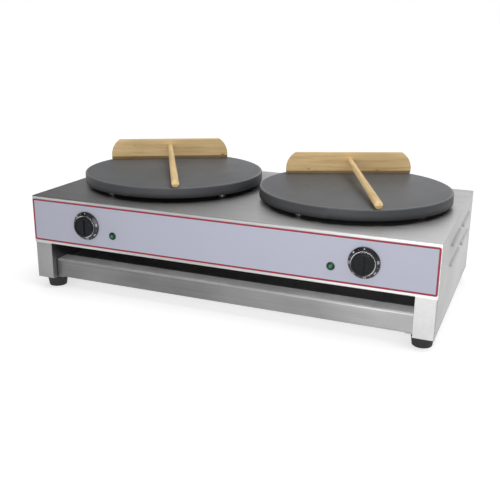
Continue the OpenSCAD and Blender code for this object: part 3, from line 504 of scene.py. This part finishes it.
def lamp_lens():
    """Ribbed green lens: a painted glow of bright green in the middle, fading to dark green at its
    rim.
    """
    glow_green, dark_green = (0.012, 0.27, 0.085), (0.003, 0.022, 0.010)
    rib_scale, groove_rough, rib_rough = 380.0, 0.16, 0.34
    glow_r, dark_r = 0.0008, 0.0052
    made, t, shader, place = new_material("lamp_lens", specular=0.3)
    radius = from_centre(t, place, LAMP_X, "Z", LAMP_Z)
    ribs = t.add("TexWave", {"Vector": place, "Scale": rib_scale, "Distortion": 0.0})
    rib = ribs.outputs["Fac"]
    # Painted glow: bright in the middle, fading out towards the rim.
    shade = t.remap(radius, glow_r, dark_r, 0.0, 1.0, smooth=True)
    t.feed(shader.inputs["Base Color"], t.mix(shade, rgba(glow_green), rgba(dark_green)))
    t.feed(shader.inputs["Roughness"], t.remap(rib, 0.0, 1.0, groove_rough, rib_rough))
    bumped(t, shader, rib, strength=0.1, distance=0.0001, edge_r=0.0003)
    return made


def planed_wood():
    """Pale spreader wood. Its grain follows the piece's own grain_place attribute, and its lower
    edge, which rests on the plate, is painted darker up to a ragged height, a painted shade."""
    edge_shade_colour, edge_shade_share = (0.20, 0.125, 0.055), 0.55
    shade_full, shade_end, ragged = 0.0062, 0.0082, 0.001
    made, t, shader, place = new_material("planed_wood", specular=0.35)
    along = t.add("Attribute", attribute_name="grain_place").outputs["Vector"]
    wood = use_group(t, WOOD, {"Vector": along})
    wander = t.spanned(t.noise(along, 45.0, detail=3.0, roughness=0.6), -ragged, ragged)
    # Painted shade along the lower edge.
    lower_edge_shade = t.remap(t.plus(t.parts(place)["Z"], wander), PLATE_TOP + shade_full,
                    PLATE_TOP + shade_end, edge_shade_share, 0.0, smooth=True)
    t.feed(shader.inputs["Base Color"], t.mix(lower_edge_shade, wood["Colour"], rgba(edge_shade_colour)))
    t.feed(shader.inputs["Roughness"], wood["Roughness"])
    bumped(t, shader, wood["Height"], strength=0.25, distance=0.0002, edge_r=0.001)
    return made


# A steel's numbers are its colour and roughness. Those of a grained finish are its colour,
# roughness, metallic share, grain size, contrast and patches.
FINISH = {
    # The deck's steel has a painted shadow under each plate.
    "deck": brushed_steel("deck_steel", (0.59, 0.585, 0.585), 0.44, contrast=0.65, smudge=0.36,
                          shade_under_plates=True),
    # Painted light and shade: the two side panels are one steel, painted darker on the left and
    # paler on the right.
    "left": brushed_steel("left_steel_painted_shade", (0.35, 0.35, 0.35), 0.46, "Y", contrast=0.55, smudge=0.3),
    "right": brushed_steel("right_steel_painted_light", (0.50, 0.50, 0.50), 0.46, "Y", contrast=0.55,
                           smudge=0.3),
    "rear": brushed_steel("rear_steel", (0.46, 0.46, 0.462), 0.46),
    "bay": brushed_steel("bay_steel", (0.30, 0.30, 0.305), 0.46),
    # Painted shade: the drawer front's steel is darker than the other sheet, for the shade under
    # the fascia's overhang; its tops carry painted light.
    "drawer": brushed_steel("drawer_steel", (0.295, 0.295, 0.297), 0.50, contrast=0.8, smudge=0.5,
                            top_light_colour=(0.90, 0.90, 0.91)),
    "tray": brushed_steel("tray_steel", (0.52, 0.52, 0.525), 0.45),
    "overlay": fascia_print(),
    "iron": cooking_iron(),
    "leg": grained("turned_leg", (0.60, 0.60, 0.61), 0.30, 1.0, 0.0004, 0.2, 0.15),
    "zinc": grained("zinc_plating", (0.56, 0.57, 0.58), 0.38, 1.0, 0.0006, 0.3, 0.3),
    "sheath": grained("heated_sheath", (0.17, 0.145, 0.125), 0.45, 0.8, 0.0006, 0.3, 0.8),
    "clamp": grained("mill_steel", (0.46, 0.46, 0.465), 0.42, 1.0, 0.0007, 0.25, 0.35),
    "thermostat": grained("thermostat_plastic", (0.72, 0.67, 0.56), 0.5, size=0.0006),
    "copper": grained("drawn_copper", (0.66, 0.33, 0.19), 0.30, 1.0, 0.0005, 0.2, 0.5),
    "lamp": grained("lamp_plastic", (0.006, 0.028, 0.014), 0.30, coat=0.2),
    "lens": lamp_lens(),
    "ceramic": grained("glazed_block", (0.76, 0.73, 0.65), 0.25, coat=0.5),
    "brass": grained("turned_brass", (0.72, 0.52, 0.22), 0.30, 1.0, 0.0004, 0.2, 0.3),
    "gland": grained("gland_plastic", (0.022, 0.022, 0.024), 0.48, contrast=0.4, patches=0.3),
    "rubber": grained("foot_rubber", (0.022, 0.022, 0.023), 0.74, size=0.0012, contrast=0.6,
                      patches=0.5, bump=0.4, worn_colour=(0.07, 0.07, 0.07)),
    "shaft": grained("shaft_steel", (0.58, 0.58, 0.59), 0.30, 1.0, 0.0004, 0.2, 0.1),
    "knob": grained("knob_plastic", (0.012, 0.012, 0.014), 0.26, contrast=0.4, patches=0.3,
                    bump=0.08, specular=0.45),
    "grip": grained("grip_plastic", (0.009, 0.010, 0.012), 0.22, contrast=0.4, patches=0.3,
                    bump=0.08, specular=0.16),
    "bright": grained("bright_ring", (0.50, 0.50, 0.51), 0.22, 1.0, 0.0009, 0.05, 0.05, bump=0.03),
    "wood": planed_wood(),
    "ink": grained("white_ink", (0.74, 0.74, 0.72), 0.5, size=0.0003, contrast=0.3, patches=0.1),
}

NODE_FINISH = {
    "top_shell": "deck", "left_side_panel": "left", "right_side_panel": "right",
    "rear_panel": "rear", "drawer_housing": "bay", "drawer_front": "drawer",
    "drawer_tray": "tray", "fascia_overlay": "overlay", "left_plate": "iron",
    "right_plate": "iron", "left_plate_legs": "leg", "right_plate_legs": "leg",
    "plate_screws": "zinc", "clamp_bolts": "zinc", "thermostat_screws": "zinc",
    "case_screws": "zinc", "foot_screws": "zinc", "foot_nuts": "zinc",
    "left_heating_element": "sheath", "right_heating_element": "sheath",
    "left_element_clamp": "clamp", "right_element_clamp": "clamp",
    "left_thermostat": "thermostat", "right_thermostat": "thermostat",
    "left_capillary": "copper", "right_capillary": "copper", "left_lamp_body": "lamp",
    "right_lamp_body": "lamp", "left_lamp_lens": "lens", "right_lamp_lens": "lens",
    "terminal_block": "ceramic", "terminal_screws": "brass", "bonding_stud": "brass",
    "bonding_nuts": "brass", "gland_body": "gland", "gland_nut": "gland",
    "gland_locknut": "gland", "front_left_foot": "rubber", "front_right_foot": "rubber",
    "rear_left_foot": "rubber", "rear_right_foot": "rubber", "left_shaft": "shaft",
    "right_shaft": "shaft", "left_knob_skirt": "knob", "right_knob_skirt": "knob",
    "left_knob_grip": "grip", "right_knob_grip": "grip", "left_knob_ring": "bright",
    "right_knob_ring": "bright", "left_spreader_blade": "wood", "left_spreader_handle": "wood",
    "right_spreader_blade": "wood", "right_spreader_handle": "wood",
}


def dress(thing, material):
    """Puts one material in the piece's slots."""
    if not thing.material_slots:
        thing.data.materials.append(material)
    for slot in thing.material_slots:
        slot.material = material


for name, node in NODES.items():
    dress(node, FINISH[NODE_FINISH[name]])


# ---- Pieces with softened edges ----

# Doubles closer than MERGE are one point, folds below FLAT_ANGLE are flat, and edges above
# SHARP_ANGLE are rounded in EDGE_STEPS steps and stay sharp in the shading
MERGE = 1e-6
FLAT_ANGLE = 0.004
SHARP_ANGLE = 0.55
EDGE_STEPS = 2


def add_object(name, data):
    """A new object in the scene, at the origin."""
    thing = bpy.data.objects.new(name, data)
    bpy.context.scene.collection.objects.link(thing)
    return thing


def mesh_points(mesh):
    """The mesh's points, as one array of rows."""
    points = np.empty(len(mesh.vertices) * 3, np.float32)
    mesh.vertices.foreach_get("co", points)
    return points.reshape(-1, 3)


def softened(name, edge):
    """The node's shape with its doubles merged, its edges rounded by edge and its faces smooth."""
    mesh = NODES[name].data.copy()
    shape = bmesh.new()
    shape.from_mesh(mesh)
    bmesh.ops.remove_doubles(shape, verts=shape.verts, dist=MERGE)
    bmesh.ops.dissolve_limit(shape, angle_limit=FLAT_ANGLE, verts=shape.verts, edges=shape.edges)
    shape.to_mesh(mesh)
    shape.free()
    mesh.shade_smooth()
    mesh.set_sharp_from_angle(angle=SHARP_ANGLE)
    piece = add_object(name + "_finished", mesh)
    if edge > 0:
        rounding = piece.modifiers.new("edges", "BEVEL")
        rounding.width = edge
        rounding.segments = EDGE_STEPS
        rounding.limit_method = "ANGLE"
        rounding.angle_limit = SHARP_ANGLE
        rounding.harden_normals = True
        rounding.use_clamp_overlap = True
    dress(piece, FINISH[NODE_FINISH[name]])
    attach(piece, BODY_OF[name])
    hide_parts(name)
    return piece


# Each piece's edge radius; 0.0 where the solid's own edges are kept
EDGES = {
    "left_plate": 0.0, "right_plate": 0.0,
    "left_knob_grip": 0.0003, "right_knob_grip": 0.0003,
    "left_knob_skirt": 0.0004, "right_knob_skirt": 0.0004,
    "left_knob_ring": 0.0002, "right_knob_ring": 0.0002,
    "left_lamp_body": 0.0003, "right_lamp_body": 0.0003,
    "left_lamp_lens": 0.0002, "right_lamp_lens": 0.0002,
    "front_left_foot": 0.0, "front_right_foot": 0.0,
    "rear_left_foot": 0.0, "rear_right_foot": 0.0,
    "left_plate_legs": 0.0004, "right_plate_legs": 0.0004,
    "gland_body": 0.0003, "gland_nut": 0.0004,
    "left_spreader_blade": 0.0008, "right_spreader_blade": 0.0008,
    "left_spreader_handle": 0.0005, "right_spreader_handle": 0.0005,
}
FINISHED = {name: softened(name, edge) for name, edge in EDGES.items()}

# How far each spreader's grain is shifted to its own side, and a handle's from its blade's
GRAIN_SIDE, GRAIN_HANDLE = 0.31, 0.17


def lay_grain(name, side, turn, along_handle):
    """Stores grain_place: the point turned back by the spreader's turn about its plate's centre,
    with the grain's direction as X, and shifted so that no two pieces show the same grain."""
    mesh = FINISHED[name].data
    centre = np.array([side * PLATE_X, PLATE_Y, 0.0])
    c, s = math.cos(-turn), math.sin(-turn)
    local = (mesh_points(mesh) - centre) @ np.array([[c, s, 0], [-s, c, 0], [0, 0, 1]])
    if along_handle:
        local = local[:, [1, 0, 2]]
    local[:, 2] += GRAIN_SIDE * side + (GRAIN_HANDLE if along_handle else 0.0)
    layer = mesh.attributes.new("grain_place", "FLOAT_VECTOR", "POINT")
    layer.data.foreach_set("vector", np.ascontiguousarray(local, np.float32).ravel())


for side, word, turn in ((-1, "left", math.radians(30)), (1, "right", math.radians(25))):
    lay_grain(word + "_spreader_blade", side, turn, False)
    lay_grain(word + "_spreader_handle", side, turn, True)


# ---- Printed dial marks ----

# The skirt's bevel, as radius and distance from the fascia at the foot of the grip and at the
# skirt's edge; the ink's distance from it and its thickness
CONE_IN_R, CONE_IN_U = 0.0237, 0.0075
CONE_OUT_R, CONE_OUT_U = 0.030, 0.0034
INK_LIFT = 0.00004
INK_T = 0.00010
INK_MERGE = 1e-7

# Numbers: their height, the font's size for it, the strokes' extra weight, and their middle
# radius. Ticks: their inner and outer radius and their width. The scale: how many numbers it has,
# the step from one to the next, and the angle that it covers.
NUMBER_H, FONT_RATIO, BOLDER, NUMBER_R = 0.0029, 1.4, 0.00010, 0.0271
TICK_IN, TICK_OUT, TICK_W = 0.0258, 0.0276, 0.0004
NUMBERS, NUMBER_STEP, SCALE_ANGLE = 7, 50, math.radians(280)


def on_cone(flat, side):
    """Flat dial points (x, z, lift) laid on the skirt's bevel: the distance from the fascia falls
    in proportion to the radius, from the foot of the grip to the skirt's edge."""
    radius = np.hypot(flat[:, 0], flat[:, 1])
    share = (radius - CONE_IN_R) / (CONE_OUT_R - CONE_IN_R)
    out = CONE_IN_U + share * (CONE_OUT_U - CONE_IN_U) + flat[:, 2]
    return np.column_stack([side * KNOB_X + flat[:, 0], FASCIA_Y - out, KNOB_Z + flat[:, 1]])


def outward(mesh):
    """Merges doubles and turns the faces outwards."""
    shape = bmesh.new()
    shape.from_mesh(mesh)
    bmesh.ops.remove_doubles(shape, verts=shape.verts, dist=INK_MERGE)
    bmesh.ops.recalc_face_normals(shape, faces=shape.faces)
    shape.to_mesh(mesh)
    shape.free()


def numeral(text):
    """A number as a thin closed mesh, centred on its own middle."""
    curve = bpy.data.curves.new("dial_number", "FONT")
    curve.body = text
    curve.size = NUMBER_H * FONT_RATIO
    curve.extrude = INK_T / 2
    curve.offset = BOLDER
    curve.align_x = "CENTER"
    holder = add_object("dial_number", curve)
    bpy.context.view_layer.update()
    settled = bpy.context.evaluated_depsgraph_get()
    mesh = bpy.data.meshes.new_from_object(holder.evaluated_get(settled))
    bpy.data.objects.remove(holder)
    bpy.data.curves.remove(curve)
    points = mesh_points(mesh)
    points[:, :2] -= (points[:, :2].min(0) + points[:, :2].max(0)) / 2
    points[:, 2] += INK_T / 2
    faces = [list(face.vertices) for face in mesh.polygons]
    bpy.data.meshes.remove(mesh)
    return points, faces


def tick():
    """A thin upright tick: the eight corners of a box and its six faces."""
    x, low, high = TICK_W / 2, TICK_IN, TICK_OUT
    points = np.array([[*corner, lift] for lift in (0.0, INK_T)
                       for corner in ((-x, low), (x, low), (x, high), (-x, high))])
    faces = [[3, 2, 1, 0], [4, 5, 6, 7], [0, 1, 5, 4], [1, 2, 6, 5], [2, 3, 7, 6], [3, 0, 4, 7]]
    return points, faces


def turned(points, angle):
    """Points turned about the dial's centre by an angle, clockwise from the top."""
    c, s = math.cos(-angle), math.sin(-angle)
    out = points.copy()
    out[:, 0] = c * points[:, 0] - s * points[:, 1]
    out[:, 1] = s * points[:, 0] + c * points[:, 1]
    return out


def dial_marks(word, side):
    """Numbers from 0 to 300 and a tick between each two, counted anticlockwise so that the knob's
    clockwise turn brings them under the top; laid on the skirt's bevel."""
    step = SCALE_ANGLE / (NUMBERS - 1)
    points, faces = [], []

    def gather(part, angle):
        start = sum(len(p) for p in points)
        points.append(on_cone(turned(part[0], angle), side) + np.array([0, -INK_LIFT, 0]))
        faces.extend([[i + start for i in face] for face in part[1]])

    for i in range(NUMBERS):
        part = numeral(str(NUMBER_STEP * i))
        part[0][:, 1] += NUMBER_R
        gather(part, -i * step)
    for i in range(NUMBERS - 1):
        gather(tick(), -(i + 0.5) * step)
    mesh = bpy.data.meshes.new(word + "_dial_marks")
    mesh.from_pydata(np.concatenate(points).tolist(), [], faces)
    outward(mesh)
    piece = add_object(word + "_dial_marks", mesh)
    dress(piece, FINISH["ink"])
    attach(piece, word + "_knob")


dial_marks("left", -1)
dial_marks("right", 1)


# ---- Floor, light and camera ----

def studio_floor():
    """Pale floor that keeps the object's soft shadow and runs out to white."""
    reach, floor_z = 60.0, -0.0002
    patch_scale, darkest, palest, matt, glow = 0.8, 0.59, 0.61, 0.9, 0.58
    mesh = bpy.data.meshes.new("studio_floor")
    mesh.from_pydata([(x * reach, y * reach, floor_z)
                      for x, y in ((-1, -1), (1, -1), (1, 1), (-1, 1))], [], [(0, 1, 2, 3)])
    piece = add_object("studio_floor", mesh)
    made, t, shader, place = new_material("pale_floor", specular=0.0)
    tone = t.spanned(t.noise(place, patch_scale), darkest, palest)
    t.feed(shader.inputs["Base Color"], t.grey(tone))
    shader.inputs["Roughness"].default_value = matt
    rays = t.add("LightPath").outputs
    seen = t.math("MAXIMUM", rays["Is Camera Ray"],
                  t.math("MAXIMUM", rays["Is Glossy Ray"], rays["Is Transmission Ray"]))
    shader.inputs["Emission Color"].default_value = (1, 1, 1, 1)
    t.feed(shader.inputs["Emission Strength"], t.times(seen, glow))
    dress(piece, made)


def studio_world():
    """A soft room, white along the horizon. Above that its light goes by direction. From left to
    right it is bright, dim, full just before the middle, and under half; it is also duller in
    front than behind."""
    far_x, far_end_x, far_light = -0.95, -0.70, 0.75
    dim_x, full_x, dim_light, full_light = -0.62, -0.10, 0.06, 1.18
    fall_x, right_x, right_share = -0.17, 0.10, 0.40
    front_y, back_y, front_share = -0.9, 0.1, 0.55
    white_z, clear_z = 0.10, 0.22
    world = bpy.data.worlds.new("studio")
    bpy.context.scene.world = world
    world.use_nodes = True
    world.node_tree.nodes.clear()
    t = Tree(world.node_tree)
    towards = t.parts(t.add("TexCoord").outputs["Generated"])
    x, y, z = towards["X"], towards["Y"], towards["Z"]
    level = t.remap(x, dim_x, full_x, dim_light, full_light, smooth=True)
    level = t.times(level, t.remap(x, fall_x, right_x, 1.0, right_share, smooth=True))
    level = t.plus(level, t.remap(x, far_x, far_end_x, far_light, 0.0, smooth=True))
    level = t.times(level, t.remap(y, front_y, back_y, front_share, 1.0))
    horizon = t.remap(z, white_z, clear_z, 1.0, 0.0, smooth=True)
    level = t.plus(level, t.times(horizon, t.minus(1.0, level)))
    room = t.add("Background", {"Color": t.grey(level), "Strength": 1.0})
    t.add("OutputWorld", {0: room.outputs[0]})


def standing(right, up, back, place):
    """The matrix of an object whose X, Y and Z point right, up and back, at a place."""
    return Matrix([[right[i], up[i], back[i], place[i]] for i in range(3)] + [[0, 0, 0, 1]])


def aimed(place, aim):
    """A lamp's matrix: at a place, with its -Z towards the aim."""
    back = np.array(place) - np.array(aim)
    back = back / np.linalg.norm(back)
    right = np.cross([0, 0, 1], back)
    right = right / np.linalg.norm(right)
    return standing(right, np.cross(back, right), back, place)


def lamp(name, kind, place, aim, power, spread):
    """A soft lamp: spread is a sun's angle in radians, or an area lamp's side in metres."""
    data = bpy.data.lights.new(name, kind)
    data.energy = power
    if kind == "SUN":
        data.angle = spread
    else:
        data.shape = "SQUARE"
        data.size = spread
    add_object(name, data).matrix_world = aimed(place, aim)


def studio_camera():
    """Camera in front, to the right and above, with a slight roll."""
    yaw, pitch, roll = math.radians(22.196), math.radians(17.53), math.radians(0.651)
    place = (0.5848, FASCIA_Y - 1.2551, 0.5784)
    sensor, focal_pixels, frame_pixels = 36.0, 744.75, 500
    ahead = np.array([-math.sin(yaw) * math.cos(pitch), math.cos(yaw) * math.cos(pitch),
                      -math.sin(pitch)])
    level = np.array([math.cos(yaw), math.sin(yaw), 0.0])
    upward = np.cross(level, ahead)
    right = level * math.cos(roll) + upward * math.sin(roll)
    up = -level * math.sin(roll) + upward * math.cos(roll)
    data = bpy.data.cameras.new("camera")
    data.sensor_fit = "HORIZONTAL"
    data.sensor_width = sensor
    data.lens = focal_pixels / frame_pixels * sensor
    camera = add_object("camera", data)
    camera.matrix_world = standing(right, up, -ahead, place)
    bpy.context.scene.camera = camera


studio_floor()
studio_world()
lamp("key_sun", "SUN", place=(1.0, -0.2, 2.4), aim=(0.0, 0.0, 0.0), power=1.0,
     spread=math.radians(40))
lamp("front_lamp", "AREA", place=(0.26, -1.3, 0.38), aim=(0.34, -0.2, 0.06), power=5.5, spread=0.7)
studio_camera()
bpy.context.scene.view_settings.view_transform = "Standard"
